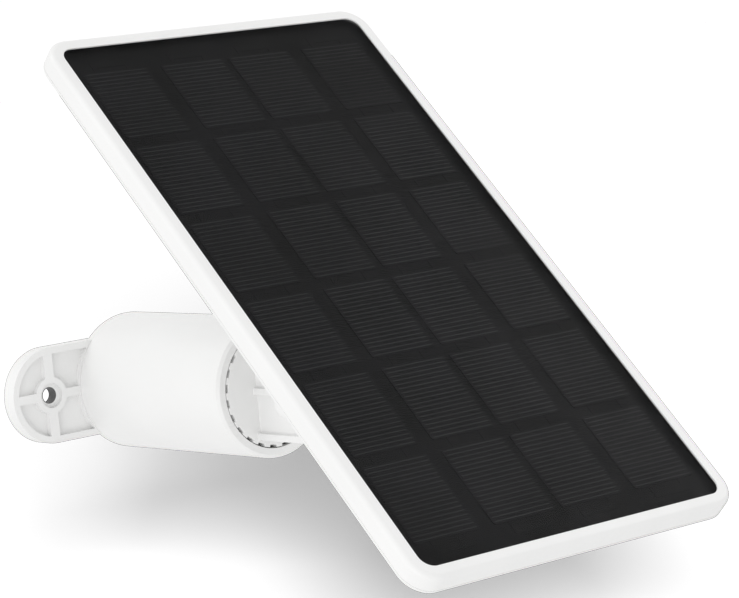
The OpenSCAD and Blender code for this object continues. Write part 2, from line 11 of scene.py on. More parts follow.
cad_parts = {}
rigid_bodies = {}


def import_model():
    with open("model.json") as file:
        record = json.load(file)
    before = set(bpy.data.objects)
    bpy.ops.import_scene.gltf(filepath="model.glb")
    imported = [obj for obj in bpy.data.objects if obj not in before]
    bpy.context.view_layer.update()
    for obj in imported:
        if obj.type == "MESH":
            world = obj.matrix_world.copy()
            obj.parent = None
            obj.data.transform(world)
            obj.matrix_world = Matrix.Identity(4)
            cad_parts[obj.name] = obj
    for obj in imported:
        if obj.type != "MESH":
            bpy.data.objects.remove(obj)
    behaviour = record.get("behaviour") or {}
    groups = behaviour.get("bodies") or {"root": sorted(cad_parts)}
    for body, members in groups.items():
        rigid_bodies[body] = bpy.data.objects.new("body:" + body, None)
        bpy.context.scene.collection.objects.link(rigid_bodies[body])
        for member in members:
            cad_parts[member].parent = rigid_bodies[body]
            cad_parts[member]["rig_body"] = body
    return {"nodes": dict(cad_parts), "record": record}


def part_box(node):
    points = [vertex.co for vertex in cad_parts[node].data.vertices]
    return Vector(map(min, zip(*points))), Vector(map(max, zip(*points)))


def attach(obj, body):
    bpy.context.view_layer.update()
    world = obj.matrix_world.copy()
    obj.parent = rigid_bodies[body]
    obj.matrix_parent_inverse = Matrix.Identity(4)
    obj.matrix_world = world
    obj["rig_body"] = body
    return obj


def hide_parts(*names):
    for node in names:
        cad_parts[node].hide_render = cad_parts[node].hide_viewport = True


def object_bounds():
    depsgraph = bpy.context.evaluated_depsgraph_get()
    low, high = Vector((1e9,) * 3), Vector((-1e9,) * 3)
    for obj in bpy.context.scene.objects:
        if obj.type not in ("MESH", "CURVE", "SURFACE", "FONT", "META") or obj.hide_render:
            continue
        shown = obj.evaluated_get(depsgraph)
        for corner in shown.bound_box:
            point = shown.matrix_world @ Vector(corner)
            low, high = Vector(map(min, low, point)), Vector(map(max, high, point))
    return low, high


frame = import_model()
cad_low, cad_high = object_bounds()

MM = 0.001
LEAN = math.radians(45)  # between the panel and the wall at rest
SAME_POINT = 1e-7  # corners closer than this are one corner
FLAT_ANGLE = math.radians(0.3)  # faces of a flat surface differ by less than this
SHARP_ANGLE = math.radians(30)  # edges sharper than this are rounded
EDGE_STEPS = 3
SMOOTH_LIMIT = math.radians(50)  # edges flatter than this are shaded smooth on moulded parts
TURNED_SMOOTH_LIMIT = math.radians(38)  # and than this on turned ones
random.seed(7)


# ---------------------------------------------------------------- camera

# solved together with the panel's proportions, by matching the outlines in the photo
VIEW_AZIMUTH = math.radians(-39.58)
VIEW_ELEVATION = math.radians(5.89)
VIEW_ROLL = math.radians(-5.68)
CAMERA_PLACE = Vector((-0.5577, -0.7955, 0.1170))
CAMERA_LENS = 153.9


def view_matrix(azimuth, elevation, roll, place):
    """A camera's matrix from its bearing, its height angle and its turn about its own axis."""
    ahead = Vector((
        -math.sin(azimuth) * math.cos(elevation),
        math.cos(azimuth) * math.cos(elevation),
        -math.sin(elevation),
    ))
    right = Vector((math.cos(azimuth), math.sin(azimuth), 0))
    up = right.cross(ahead)
    turned_right = math.cos(roll) * right + math.sin(roll) * up
    turned_up = math.cos(roll) * up - math.sin(roll) * right
    turn = Matrix((turned_right, turned_up, -ahead)).transposed()
    return Matrix.Translation(place) @ turn.to_4x4()


def make_camera():
    data = bpy.data.cameras.new("camera")
    data.lens = CAMERA_LENS
    data.sensor_width = 36
    data.clip_start = 0.05
    data.clip_end = 20
    camera = bpy.data.objects.new("camera", data)
    bpy.context.scene.collection.objects.link(camera)
    camera.matrix_world = view_matrix(VIEW_AZIMUTH, VIEW_ELEVATION, VIEW_ROLL, CAMERA_PLACE)
    bpy.context.scene.camera = camera


make_camera()


# ---------------------------------------------------------------- the frame's own places

def box_middle(node):
    low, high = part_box(node)
    return (low + high) / 2


# x right, y up the slope, z out of the panel's front; origin in the middle of the cover sheet
PANEL = Matrix.Translation(box_middle("cover_sheet")) @ Matrix.Rotation(math.pi / 2 - LEAN, 4, "X")
# x right, y up, z straight out from the wall
WALL = Matrix.Rotation(math.pi / 2, 4, "X")
# z along the tilt bolt
BOLT = Matrix.Translation(box_middle("friction_pads")) @ Matrix.Rotation(math.pi / 2, 4, "Y")


def solids_of(node, place):
    """Lowest and highest corner of each separate solid of a CAD node, in the axes of place."""
    mesh = bmesh.new()
    mesh.from_mesh(frame["nodes"][node].data)
    bmesh.ops.remove_doubles(mesh, verts=mesh.verts, dist=SAME_POINT)
    mesh.transform(place.inverted())
    unseen = set(mesh.verts)
    boxes = []
    while unseen:
        group = [unseen.pop()]
        for vert in group:
            for edge in vert.link_edges:
                other = edge.other_vert(vert)
                if other in unseen:
                    unseen.discard(other)
                    group.append(other)
        low = Vector(min(v.co[i] for v in group) for i in range(3))
        high = Vector(max(v.co[i] for v in group) for i in range(3))
        boxes.append((low, high))
    mesh.free()
    return sorted(boxes, key=lambda b: tuple(round(c, 6) for c in b[0]))


# ---------------------------------------------------------------- nodes of a material

class Paint:
    """One procedural material, built node by node on its Principled shader."""

    def __init__(self, name, **fixed):
        self.material = bpy.data.materials.new(name)
        self.material.use_nodes = True
        self.tree = self.material.node_tree
        self.shader = self.tree.nodes["Principled BSDF"]
        self.place = self.tree.nodes.new("ShaderNodeTexCoord").outputs["Object"]
        for socket, value in fixed.items():
            self.shader.inputs[socket.replace("_", " ")].default_value = value

    def feed(self, socket, value):
        """Links an output to a socket, or sets a plain value on it."""
        if isinstance(value, bpy.types.NodeSocket):
            self.tree.links.new(value, socket)
        elif value is not None:
            socket.default_value = value

    def set(self, socket, value):
        self.feed(self.shader.inputs[socket], value)

    def stretched(self, scale):
        """The object's coordinates, scaled along each axis."""
        node = self.tree.nodes.new("ShaderNodeMapping")
        node.inputs["Scale"].default_value = scale
        self.feed(node.inputs["Vector"], self.place)
        return node.outputs["Vector"]

    def noise(self, size, detail=2.0, roughness=0.5, vector=None):
        """Noise whose spots are about size across, in metres."""
        node = self.tree.nodes.new("ShaderNodeTexNoise")
        node.inputs["Scale"].default_value = 1 / size
        node.inputs["Detail"].default_value = detail
        node.inputs["Roughness"].default_value = roughness
        self.feed(node.inputs["Vector"], vector or self.place)
        return node.outputs["Fac"]

    def cells(self, size, output="Distance"):
        """Crystal-like cells about size across, in metres."""
        node = self.tree.nodes.new("ShaderNodeTexVoronoi")
        node.inputs["Scale"].default_value = 1 / size
        self.feed(node.inputs["Vector"], self.place)
        return node.outputs[output]

    def waves(self, size, direction):
        """Straight bands across one axis, each about size wide, in metres."""
        width_at_scale_1 = math.pi / 10
        node = self.tree.nodes.new("ShaderNodeTexWave")
        node.bands_direction = direction
        node.inputs["Scale"].default_value = width_at_scale_1 / size
        self.feed(node.inputs["Vector"], self.place)
        return node.outputs["Fac"]

    def hole_distance(self, offset):
        """Distance from the nearer of two axes along y, offset either side of x = 0."""
        split = self.tree.nodes.new("ShaderNodeSeparateXYZ")
        self.feed(split.inputs[0], self.place)
        across = self.difference(self.arithmetic("ABSOLUTE", split.outputs["X"]), offset)
        height = split.outputs["Z"]
        squared = self.sum(self.product(across, across), self.product(height, height))
        return self.arithmetic("POWER", squared, 0.5)

    def attribute(self, name):
        node = self.tree.nodes.new("ShaderNodeAttribute")
        node.attribute_name = name
        return node.outputs["Fac"]

    def ramp(self, value, low, high, to_low=0.0, to_high=1.0):
        """Maps a value between low and high to a new range, smoothly and with no overshoot."""
        node = self.tree.nodes.new("ShaderNodeMapRange")
        node.interpolation_type = "SMOOTHSTEP"
        self.feed(node.inputs["Value"], value)
        node.inputs["From Min"].default_value = low
        node.inputs["From Max"].default_value = high
        node.inputs["To Min"].default_value = to_low
        node.inputs["To Max"].default_value = to_high
        return node.outputs["Result"]

    def arithmetic(self, operation, a, b=None):
        node = self.tree.nodes.new("ShaderNodeMath")
        node.operation = operation
        self.feed(node.inputs[0], a)
        self.feed(node.inputs[1], b)
        return node.outputs["Value"]

    def sum(self, a, b):
        return self.arithmetic("ADD", a, b)

    def difference(self, a, b):
        return self.arithmetic("SUBTRACT", a, b)

    def product(self, a, b):
        return self.arithmetic("MULTIPLY", a, b)

    def blend(self, share, a, b):
        """Colour a where share is 0 and colour b where it is 1."""
        node = self.tree.nodes.new("ShaderNodeMix")
        node.data_type = "RGBA"
        self.feed(node.inputs["Factor"], share)
        self.feed(node.inputs["A"], a if isinstance(a, bpy.types.NodeSocket) else (*a, 1))
        self.feed(node.inputs["B"], b if isinstance(b, bpy.types.NodeSocket) else (*b, 1))
        return node.outputs["Result"]

    def bump(self, height, depth, strength):
        node = self.tree.nodes.new("ShaderNodeBump")
        node.inputs["Strength"].default_value = strength
        node.inputs["Distance"].default_value = depth
        self.feed(node.inputs["Height"], height)
        return node.outputs["Normal"]


def tinted(colour, factor):
    return tuple(min(1.0, c * factor) for c in colour)


# ---------------------------------------------------------------- materials

def moulded_plastic(name, colour, rough, grain, grain_depth, holes=None):
    """Moulded plastic: slow flow marks, a fine eroded grain and edges rubbed a little smoother.
    Inside holes, given as an offset either side of x = 0 and a radius, it is painted dark: painted
    shade standing in for the shadow inside the bore."""
    paint = Paint(name, Specular_IOR_Level=0.42, IOR=1.5)
    flow = paint.noise(18 * MM, detail=3, vector=paint.stretched((1, 0.45, 0.45)))
    fleck = paint.noise(grain, detail=1)
    body = paint.blend(paint.ramp(flow, 0.3, 0.7), tinted(colour, 0.975), colour)
    body = paint.blend(paint.ramp(fleck, 0.55, 0.8, 0, 0.35), body, tinted(colour, 0.93))
    rubbed = paint.product(paint.attribute("edge"), paint.ramp(paint.noise(2.5 * MM, 3), 0.4, 0.65))
    body = paint.blend(paint.product(rubbed, 0.5), body, tinted(colour, 1.05))
    if holes:
        offset, radius = holes
        # painted shade: each hole's bore is coloured dark grey in place of the shadow that falls inside
        # it
        dust_and_painted_hole_shade = paint.ramp(paint.hole_distance(offset), radius, radius + 0.15 * MM, 1, 0)
        body = paint.blend(dust_and_painted_hole_shade, body, (0.1, 0.1, 0.1))
    paint.set("Base Color", body)
    patchy = paint.ramp(paint.noise(9 * MM, 4), 0.3, 0.7, rough - 0.05, rough + 0.05)
    paint.set("Roughness", paint.difference(patchy, paint.product(rubbed, 0.12)))
    paint.set("Normal", paint.bump(paint.noise(grain, detail=2), grain_depth, 0.5))
    return paint.material


def metal(name, colour, stain, rough):
    """Metal with a fine matt grain, faint stains and brighter worn edges."""
    paint = Paint(name, Metallic=1.0)
    grain = paint.noise(0.25 * MM, detail=4)
    stains = paint.noise(2.2 * MM, detail=4, roughness=0.6)
    body = paint.blend(paint.ramp(stains, 0.42, 0.7), colour, stain)
    body = paint.blend(paint.ramp(grain, 0.35, 0.75, 0, 0.3), body, tinted(colour, 1.15))
    body = paint.blend(paint.product(paint.attribute("edge"), 0.6), body, tinted(colour, 1.3))
    paint.set("Base Color", body)
    dulled = paint.ramp(stains, 0.4, 0.8, 0, 0.12)
    paint.set("Roughness", paint.sum(paint.ramp(grain, 0.2, 0.8, rough - 0.07, rough + 0.09), dulled))
    paint.set("Normal", paint.bump(grain, 0.004 * MM, 0.6))
    return paint.material


def lacquered(name, colour, bare):
    """Baked lacquer on metal: a faint orange-peel skin with a few pinhead chips down to the metal."""
    paint = Paint(name, Specular_IOR_Level=0.45)
    peel = paint.noise(0.7 * MM, detail=2)
    chips = paint.ramp(paint.noise(0.9 * MM, detail=4, roughness=0.6), 0.72, 0.74)
    body = paint.blend(paint.ramp(paint.noise(5 * MM, 3), 0.3, 0.7), tinted(colour, 0.97), colour)
    paint.set("Base Color", paint.blend(chips, body, bare))
    paint.set("Metallic", chips)
    paint.set("Roughness", paint.ramp(peel, 0.3, 0.7, 0.3, 0.42))
    paint.set("Normal", paint.bump(peel, 0.02 * MM, 0.4))
    return paint.material


def rubber(name, colour):
    """Soft rubber: dull, faintly dusty, with a fine pebbled skin."""
    paint = Paint(name, Specular_IOR_Level=0.3)
    dust_and_painted_hole_shade = paint.noise(3 * MM, detail=5, roughness=0.65)
    paint.set("Base Color", paint.blend(paint.ramp(dust_and_painted_hole_shade, 0.5, 0.8, 0, 0.6), colour, (0.16, 0.16, 0.16)))
    paint.set("Roughness", paint.ramp(dust_and_painted_hole_shade, 0.3, 0.7, 0.62, 0.85))
    paint.set("Normal", paint.bump(paint.cells(0.3 * MM), 0.03 * MM, 0.5))
    return paint.material


def cover_film():
    """The laminate's front film: see-through, with a fine matt texture that catches the light."""
    paint = Paint("cover_film", Alpha=0.34, IOR=1.45, Specular_IOR_Level=0.14)
    haze = paint.noise(22 * MM, detail=3)
    body = paint.blend(paint.ramp(haze, 0.3, 0.75), (0.005, 0.005, 0.005), (0.009, 0.009, 0.01))
    paint.set("Base Color", body)
    paint.set("Roughness", paint.ramp(paint.noise(6 * MM, 4), 0.3, 0.7, 0.4, 0.52))
    paint.set("Normal", paint.bump(paint.noise(0.3 * MM, 2), 0.006 * MM, 0.3))
    return paint.material


def silicon():
    """Dark silicon, each cell of a slightly different tone, with a faint crystal figure."""
    paint = Paint("silicon", Specular_IOR_Level=0.12)
    tone = paint.attribute("tone")
    figure = paint.cells(1.4 * MM, output="Color")
    body = paint.blend(tone, (0.0135, 0.0135, 0.0145), (0.018, 0.018, 0.0195))
    body = paint.blend(paint.product(paint.ramp(figure, 0.2, 0.9), 0.25), body, (0.02, 0.0205, 0.024))
    paint.set("Base Color", body)
    paint.set("Roughness", paint.ramp(paint.noise(4 * MM, 3), 0.3, 0.7, 0.38, 0.5))
    paint.set("Normal", paint.bump(paint.noise(0.12 * MM, 2), 0.004 * MM, 0.4))
    return paint.material


def printed_silver():
    """The fine lines printed across each cell, fired to a dull grey."""
    paint = Paint("printed_silver", Specular_IOR_Level=0.2)
    fired = paint.noise(1.4 * MM, detail=3, vector=paint.stretched((0.2, 1, 1)))
    broad = paint.noise(14 * MM, detail=2)
    body = paint.blend(paint.ramp(fired, 0.35, 0.7), (0.027, 0.027, 0.027), (0.047, 0.047, 0.0465))
    worn = paint.ramp(broad, 0.4, 0.7, 0, 0.3)
    paint.set("Base Color", paint.blend(worn, body, (0.018, 0.018, 0.019)))
    paint.set("Roughness", paint.ramp(fired, 0.3, 0.8, 0.5, 0.65))
    paint.set("Normal", paint.bump(fired, 0.004 * MM, 0.5))
    return paint.material


def laminate(name, colour, thread, weave_share):
    """Glass-fibre board: a woven ground under a thin lacquer."""
    paint = Paint(name, Specular_IOR_Level=0.12)
    across = paint.waves(0.45 * MM, "X")
    along = paint.waves(0.45 * MM, "Y")
    weave = paint.product(across, along)
    paint.set("Base Color", paint.blend(paint.ramp(weave, 0.2, 0.8, 0, weave_share), colour, thread))
    paint.set("Roughness", paint.ramp(paint.noise(7 * MM, 4), 0.3, 0.7, 0.42, 0.58))
    paint.set("Normal", paint.bump(weave, 0.01 * MM, 0.4))
    return paint.material


def printed_circuit():
    """Green lacquer over copper tracks, with bright pads where the lacquer is open."""
    paint = Paint("printed_circuit", Specular_IOR_Level=0.5)
    grid = paint.tree.nodes.new("ShaderNodeTexBrick")
    grid.offset = 0.37
    grid.inputs["Scale"].default_value = 1.0
    grid.inputs["Brick Width"].default_value = 5.2 * MM
    grid.inputs["Row Height"].default_value = 1.3 * MM
    grid.inputs["Mortar Size"].default_value = 0.14 * MM
    paint.feed(grid.inputs["Vector"], paint.place)
    tracks = grid.outputs["Fac"]
    pads = paint.ramp(paint.cells(3.1 * MM), 0.12, 0.16, 1, 0)
    body = paint.blend(tracks, (0.012, 0.11, 0.045), (0.03, 0.21, 0.075))
    paint.set("Base Color", paint.blend(pads, body, (0.62, 0.56, 0.42)))
    paint.set("Metallic", paint.product(pads, 0.8))
    paint.set("Roughness", paint.ramp(paint.noise(4 * MM, 3), 0.3, 0.7, 0.25, 0.4))
    paint.set("Normal", paint.bump(paint.sum(tracks, pads), 0.03 * MM, 0.5))
    return paint.material


def wire_cover():
    """Red insulation on one lead and black on the other, told apart by where they lie."""
    paint = Paint("wire_cover", Specular_IOR_Level=0.35)
    wires = sorted(solids_of("lead_wires", PANEL), key=lambda b: b[0].y)
    middle = (wires[0][1].y + wires[-1][0].y) / 2
    split = paint.tree.nodes.new("ShaderNodeSeparateXYZ")
    paint.feed(split.inputs[0], paint.place)
    slope = PANEL.to_3x3() @ Vector((0, 1, 0))
    up_slope = paint.sum(
        paint.product(split.outputs["Y"], slope.y), paint.product(split.outputs["Z"], slope.z))
    edge = slope.dot(PANEL @ Vector((0, middle, 0)))
    second = paint.ramp(up_slope, edge - 0.1 * MM, edge + 0.1 * MM)
    skin = paint.noise(0.6 * MM, detail=3)
    body = paint.blend(second, (0.42, 0.03, 0.025), (0.02, 0.02, 0.022))
    paint.set("Base Color", paint.blend(paint.ramp(skin, 0.4, 0.8, 0, 0.25), body, (0.3, 0.2, 0.19)))
    paint.set("Roughness", paint.ramp(skin, 0.3, 0.7, 0.35, 0.5))
    paint.set("Normal", paint.bump(skin, 0.01 * MM, 0.5))
    return paint.material


WHITE = (0.83, 0.83, 0.825)
STEEL = (0.47, 0.48, 0.50)
# where the wall plate's screw holes are, for the painted shade coloured into their bores
SCREW_OFFSET = 31.5 * MM  # from the wall plate's middle to each screw hole
SCREW_HOLE = 2.45 * MM  # just past the hole's radius
MATERIALS = {
    "white_shell": moulded_plastic("white_satin", WHITE, 0.42, 0.3 * MM, 0.02 * MM),
    # the wall plate's white, with painted shade coloured into its two screw holes
    "white_plate": moulded_plastic(
        "white_plate", WHITE, 0.42, 0.3 * MM, 0.02 * MM, holes=(SCREW_OFFSET, SCREW_HOLE)),
    "white_textured": moulded_plastic(
        "white_textured", tinted(WHITE, 0.99), 0.52, 0.45 * MM, 0.045 * MM),
    "nylon": moulded_plastic("nylon", (0.76, 0.75, 0.71), 0.36, 0.5 * MM, 0.01 * MM),
    "steel": metal("zinc_steel", STEEL, (0.36, 0.36, 0.355), 0.28),
    "white_steel": lacquered("white_lacquer", WHITE, STEEL),
    "spring_steel": metal("spring_steel", (0.46, 0.47, 0.49), (0.33, 0.32, 0.31), 0.26),
    "brass": metal("brass", (0.78, 0.57, 0.24), (0.52, 0.35, 0.15), 0.28),
    "black_rubber": rubber("black_rubber", (0.022, 0.022, 0.024)),
    "dark_sheet": cover_film(),
    "solar_cell": silicon(),
    "printed_silver": printed_silver(),
    "black_ribbon": metal("blackened_ribbon", (0.022, 0.022, 0.022), (0.016, 0.016, 0.016), 0.5),
    "black_board": laminate("black_board", (0.005, 0.005, 0.005), (0.01, 0.01, 0.01), 0.5),
    "green_board": printed_circuit(),
    "dark_parts": moulded_plastic("component_cases", (0.035, 0.035, 0.038), 0.5, 0.3 * MM, 0.02 * MM),
    "wire_cover": wire_cover(),
}


# ---------------------------------------------------------------- pieces

def body_of(node):
    return frame["nodes"][node]["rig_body"]


def slot_of(node):
    return next(p["material_slot"] for p in frame["record"]["subparts"] if p["node"] == node)


def add_piece(name, mesh, place, nodes, paints):
    """Makes an object of a bmesh, standing for CAD nodes and riding on their body."""
    data = bpy.data.meshes.new(name)
    mesh.to_mesh(data)
    mesh.free()
    for paint in paints:
        data.materials.append(MATERIALS[paint])
    piece = bpy.data.objects.new(name, data)
    bpy.context.scene.collection.objects.link(piece)
    piece.matrix_world = place
    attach(piece, body_of(nodes[0]))
    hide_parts(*nodes)
    return piece


def weight_normals(piece, limit):
    """Smooth shading that keeps flat faces flat, and edges sharper than limit sharp."""
    piece.data.shade_smooth()
    piece.data.set_sharp_from_angle(angle=limit)
    modifier = piece.modifiers.new("normals", "WEIGHTED_NORMAL")
    modifier.keep_sharp = True
    modifier.weight = 100


def softened(node, radius, paint):
    """A CAD part as it is moulded or ground: its faces made whole and its edges rounded."""
    data = frame["nodes"][node].data.copy()
    # the CAD mesh's own normals would not fit the rounded edges
    data.attributes.remove(data.attributes["custom_normal"])
    mesh = bmesh.new()
    mesh.from_mesh(data)
    bmesh.ops.remove_doubles(mesh, verts=mesh.verts, dist=SAME_POINT)
    bmesh.ops.dissolve_limit(mesh, angle_limit=FLAT_ANGLE, verts=mesh.verts, edges=mesh.edges)
    bmesh.ops.connect_verts_concave(mesh, faces=mesh.faces)
    edge = mesh.faces.layers.float.new("edge")
    joined = [e for e in mesh.edges if len(e.link_faces) == 2]
    sharp = [e for e in joined if e.calc_face_angle(0) > SHARP_ANGLE]
    made = bmesh.ops.bevel(
        mesh, geom=sharp, offset=radius, segments=EDGE_STEPS, profile=0.5,
        affect="EDGES", clamp_overlap=False)
    for face in made["faces"]:
        face[edge] = 1.0
    piece = add_piece(node + "_soft", mesh, Matrix.Identity(4), [node], [paint])
    weight_normals(piece, SMOOTH_LIMIT)


def ring_point(radius, height, angle):
    r = radius(angle, height) if callable(radius) else radius
    return (r * math.cos(angle), r * math.sin(angle), height)


def add_turned(mesh, rings, place, closed=False, sides=72):
    """Adds a solid of stacked rings, each a radius, or a function of angle and height, and a height.
    An open stack is capped at both ends; a closed one joins its last ring to its first."""
    loops = []
    for radius, height in rings:
        points = [ring_point(radius, height, 2 * math.pi * i / sides) for i in range(sides)]
        loops.append([mesh.verts.new(place @ Vector(p)) for p in points])
    pairs = list(zip(loops, loops[1:]))
    if closed:
        pairs.append((loops[-1], loops[0]))
    for lower, upper in pairs:
        for i in range(sides):
            j = (i + 1) % sides
            mesh.faces.new((lower[i], lower[j], upper[j], upper[i]))
    if not closed:
        mesh.faces.new(loops[0][::-1])
        mesh.faces.new(loops[-1])


def finish_turned(name, mesh, nodes, paint, place):
    bmesh.ops.recalc_face_normals(mesh, faces=mesh.faces)
    piece = add_piece(name, mesh, place, nodes, [paint])
    weight_normals(piece, TURNED_SMOOTH_LIMIT)


THREAD_DEPTH = 0.54  # as a share of the pitch
FLANK_CURVE = 0.8  # 1 gives straight flanks; less gives thinner crests and wider grooves
RINGS_PER_TURN = 8


def thread_radius(outer, pitch):
    """Radius of a screw thread, as a function of angle and height."""
    depth = THREAD_DEPTH * pitch

    def radius(angle, height):
        phase = (height / pitch - angle / (2 * math.pi)) % 1
        return outer - depth * (1 - abs(2 * phase - 1)) ** FLANK_CURVE
    return radius


def hexagon(across_flats):
    """Radius of a hexagon at an angle."""
    def radius(angle, _height):
        return across_flats / 2 / math.cos((angle % (math.pi / 3)) - math.pi / 6)
    return radius


def cross_recess(arm, half_width):
    """Radius of a cross-shaped recess at an angle."""
    def radius(angle, _height):
        turn = (angle + math.pi / 4) % (math.pi / 2) - math.pi / 4
        return min(arm / math.cos(turn), half_width / max(abs(math.sin(turn)), 1e-6))
    return radius


def thread_rings(radius, pitch, start, end):
    """Rings of a threaded shank."""
    outer = thread_radius(radius, pitch)
    steps = max(2, round((end - start) / pitch * RINGS_PER_TURN))
    return [(outer, start + (end - start) * i / steps) for i in range(steps + 1)]


def pan_screw_rings(radius, length, head_radius, head_height):
    """A cross-recess screw along +z with its head below z = 0, from the recess's bottom outwards."""
    arm = head_radius * 0.58
    width = head_radius * 0.13
    flat_share = 0.62  # of the head's radius, flat on top
    rim_share = 0.45  # of the head's height, up to where the dome starts
    dome_steps = 8
    dome = []
    for i in range(dome_steps + 1):
        bend = math.pi / 2 * i / dome_steps
        out = flat_share + (1 - flat_share) * math.sin(bend)
        down = rim_share + (1 - rim_share) * math.cos(bend)
        dome.append((head_radius * out, -head_height * down))
    recess = [
        (cross_recess(arm * 0.35, width * 0.6), -head_height * 0.35),
        (cross_recess(arm * 0.9, width), -head_height * 0.7),
        (cross_recess(arm, width * 1.15), -head_height),
    ]
    pitch = 0.35 * radius
    shank = [(head_radius, -head_height * 0.12), (head_radius * 0.97, 0), (radius * 0.95, 0)]
    tip = [(radius * 0.55, length)]
    return recess + dome + shank + thread_rings(radius, pitch, 0.3 * MM, length - 0.4 * MM) + tip


def screws(node, place, head_up, radius, head_radius, head_height, sides):
    """One detailed screw for each solid of a CAD node of screws along z."""
    mesh = bmesh.new()
    for low, high in solids_of(node, place):
        centre = (low + high) / 2
        length = high.z - low.z - head_height
        if head_up:
            put = Matrix.Translation((centre.x, centre.y, high.z - head_height))
            put = put @ Matrix.Rotation(math.pi, 4, "X")
        else:
            put = Matrix.Translation((centre.x, centre.y, low.z + head_height))
        spin = Matrix.Rotation(random.uniform(0, math.pi / 2), 4, "Z")
        rings = pan_screw_rings(radius, length, head_radius, head_height)
        add_turned(mesh, rings, put @ spin, sides=sides)
    finish_turned(node + "_turned", mesh, [node], "steel", place)


WASHER_EDGE = 0.12 * MM


def washer_rings(outer, inner, low, high, edge):
    """A flat ring with its four edges cut at a slant."""
    return [
        (inner, low + edge), (inner + edge, low), (outer - edge, low), (outer, low + edge),
        (outer, high - edge), (outer - edge, high), (inner + edge, high), (inner, high - edge),
    ]


def washers(node, place, inner, paint):
    """One washer for each solid of a CAD node of washers along z."""
    mesh = bmesh.new()
    for low, high in solids_of(node, place):
        outer = (high.x - low.x) / 2
        put = Matrix.Translation(((low.x + high.x) / 2, (low.y + high.y) / 2, 0))
        add_turned(mesh, washer_rings(outer, inner, low.z, high.z, WASHER_EDGE), put, closed=True)
    finish_turned(node + "_turned", mesh, [node], paint, place)


def tilt_bolt():
    """Socket-head cap screw: knurled head, hexagon socket and a thread to its end."""
    radius = 3 * MM
    pitch = 0.8 * MM
    head_height = 5 * MM
    key = 5 * MM
    key_depth = 3 * MM
    knurls = 40
    knurl_depth = 0.22 * MM
    socket_chamfer = 0.3 * MM
    head_chamfer = 0.6 * MM
    low, high = solids_of("tilt_bolt", BOLT)[0]
    head_radius = (high.x - low.x) / 2
    neck = low.z + head_height

    def knurled(angle, _height):
        return head_radius - knurl_depth * (0.5 + 0.5 * math.cos(knurls * angle))

    rings = [
        (0.4 * MM, low.z + key_depth + 0.5 * MM),
        (hexagon(key), low.z + key_depth),
        (hexagon(key), low.z + socket_chamfer),
        (hexagon(key + 0.5 * MM), low.z),
        (head_radius - head_chamfer, low.z),
        (head_radius - 0.2 * MM, low.z + 0.3 * MM),
        (knurled, low.z + head_chamfer),
        (knurled, neck - 0.5 * MM),
        (head_radius - 0.3 * MM, neck),
        (radius, neck),
        (radius, neck + 1 * MM),
        (radius, 0),
    ]
    rings += thread_rings(radius, pitch, 2 * MM, high.z - 0.6 * MM)
    rings += [(radius * 0.72, high.z)]
    mesh = bmesh.new()
    add_turned(mesh, rings, Matrix.Identity(4), sides=240)
    finish_turned("tilt_bolt_turned", mesh, ["tilt_bolt"], "white_steel", BOLT)


def tilt_nut():
    """Hexagon nut with both faces chamfered to a circle."""
    low, high = solids_of("tilt_nut", BOLT)[0]
    flats = 10 * MM
    outline = hexagon(flats)
    bore = 3.02 * MM
    bore_chamfer = 0.3 * MM
    face_share = 0.97  # the circle left on each face, as a share of the flats
    cone_slope = 1.73  # outwards for each step in from the face, which makes 30 degrees to it
    middle = (low.z + high.z) / 2

    def chamfered(angle, height):
        """The hexagon, cut near each face by a cone."""
        near_face = min(height - low.z, high.z - height)
        return min(outline(angle, height), flats / 2 * face_share + near_face * cone_slope)

    heights = [low.z + up * MM for up in (0, 0.15, 0.3, 0.5, 0.8)] + [middle]
    heights += [low.z + high.z - h for h in heights[-2::-1]]
    rings = [(bore + bore_chamfer, low.z)] + [(chamfered, h) for h in heights]
    rings += [(bore + bore_chamfer, high.z), (bore, high.z - bore_chamfer)]
    rings += [(bore, low.z + bore_chamfer)]
    mesh = bmesh.new()
    add_turned(mesh, rings, Matrix.Identity(4), closed=True, sides=180)
    finish_turned("tilt_nut_turned", mesh, ["tilt_nut"], "white_steel", BOLT)


def inserts(node, place, bore):
    """Brass threaded inserts with a diamond knurl between two smooth bands."""
    ridges = 20
    twist = 4
    knurl_depth = 0.12 * MM
    knurl_steps = 24
    chamfer = 0.25 * MM
    band = 0.15 * MM
    mesh = bmesh.new()
    for low, high in solids_of(node, place):
        outer = (high.x - low.x) / 2
        put = Matrix.Translation(((low.x + high.x) / 2, (low.y + high.y) / 2, 0))
        span = high.z - low.z

        def knurl(angle, height, outer=outer, low=low, span=span):
            turn = math.pi * twist * (height - low.z) / span
            ridge = math.cos(ridges * angle + turn) * math.cos(ridges * angle - turn)
            return outer - knurl_depth * (0.5 - 0.5 * ridge)

        shares = [0.1 + 0.8 * i / knurl_steps for i in range(knurl_steps + 1)]
        rings = [(bore, low.z), (outer - chamfer, low.z), (outer - band, low.z + 0.3 * MM)]
        rings += [(knurl, low.z + span * share) for share in shares]
        rings += [(outer - band, high.z - 0.2 * MM), (outer - chamfer, high.z), (bore, high.z)]
        add_turned(mesh, rings, put, closed=True, sides=120)
    finish_turned(node + "_knurled", mesh, [node], "brass", place)


# ---------------------------------------------------------------- solar cells

FINGER_PITCH = 1.5 * MM
FINGER_WIDTH = 0.26 * MM
FINGER_HEIGHT = 0.02 * MM
CELL_CORNER = 0.5 * MM
CELL_MARGIN = 0.8 * MM


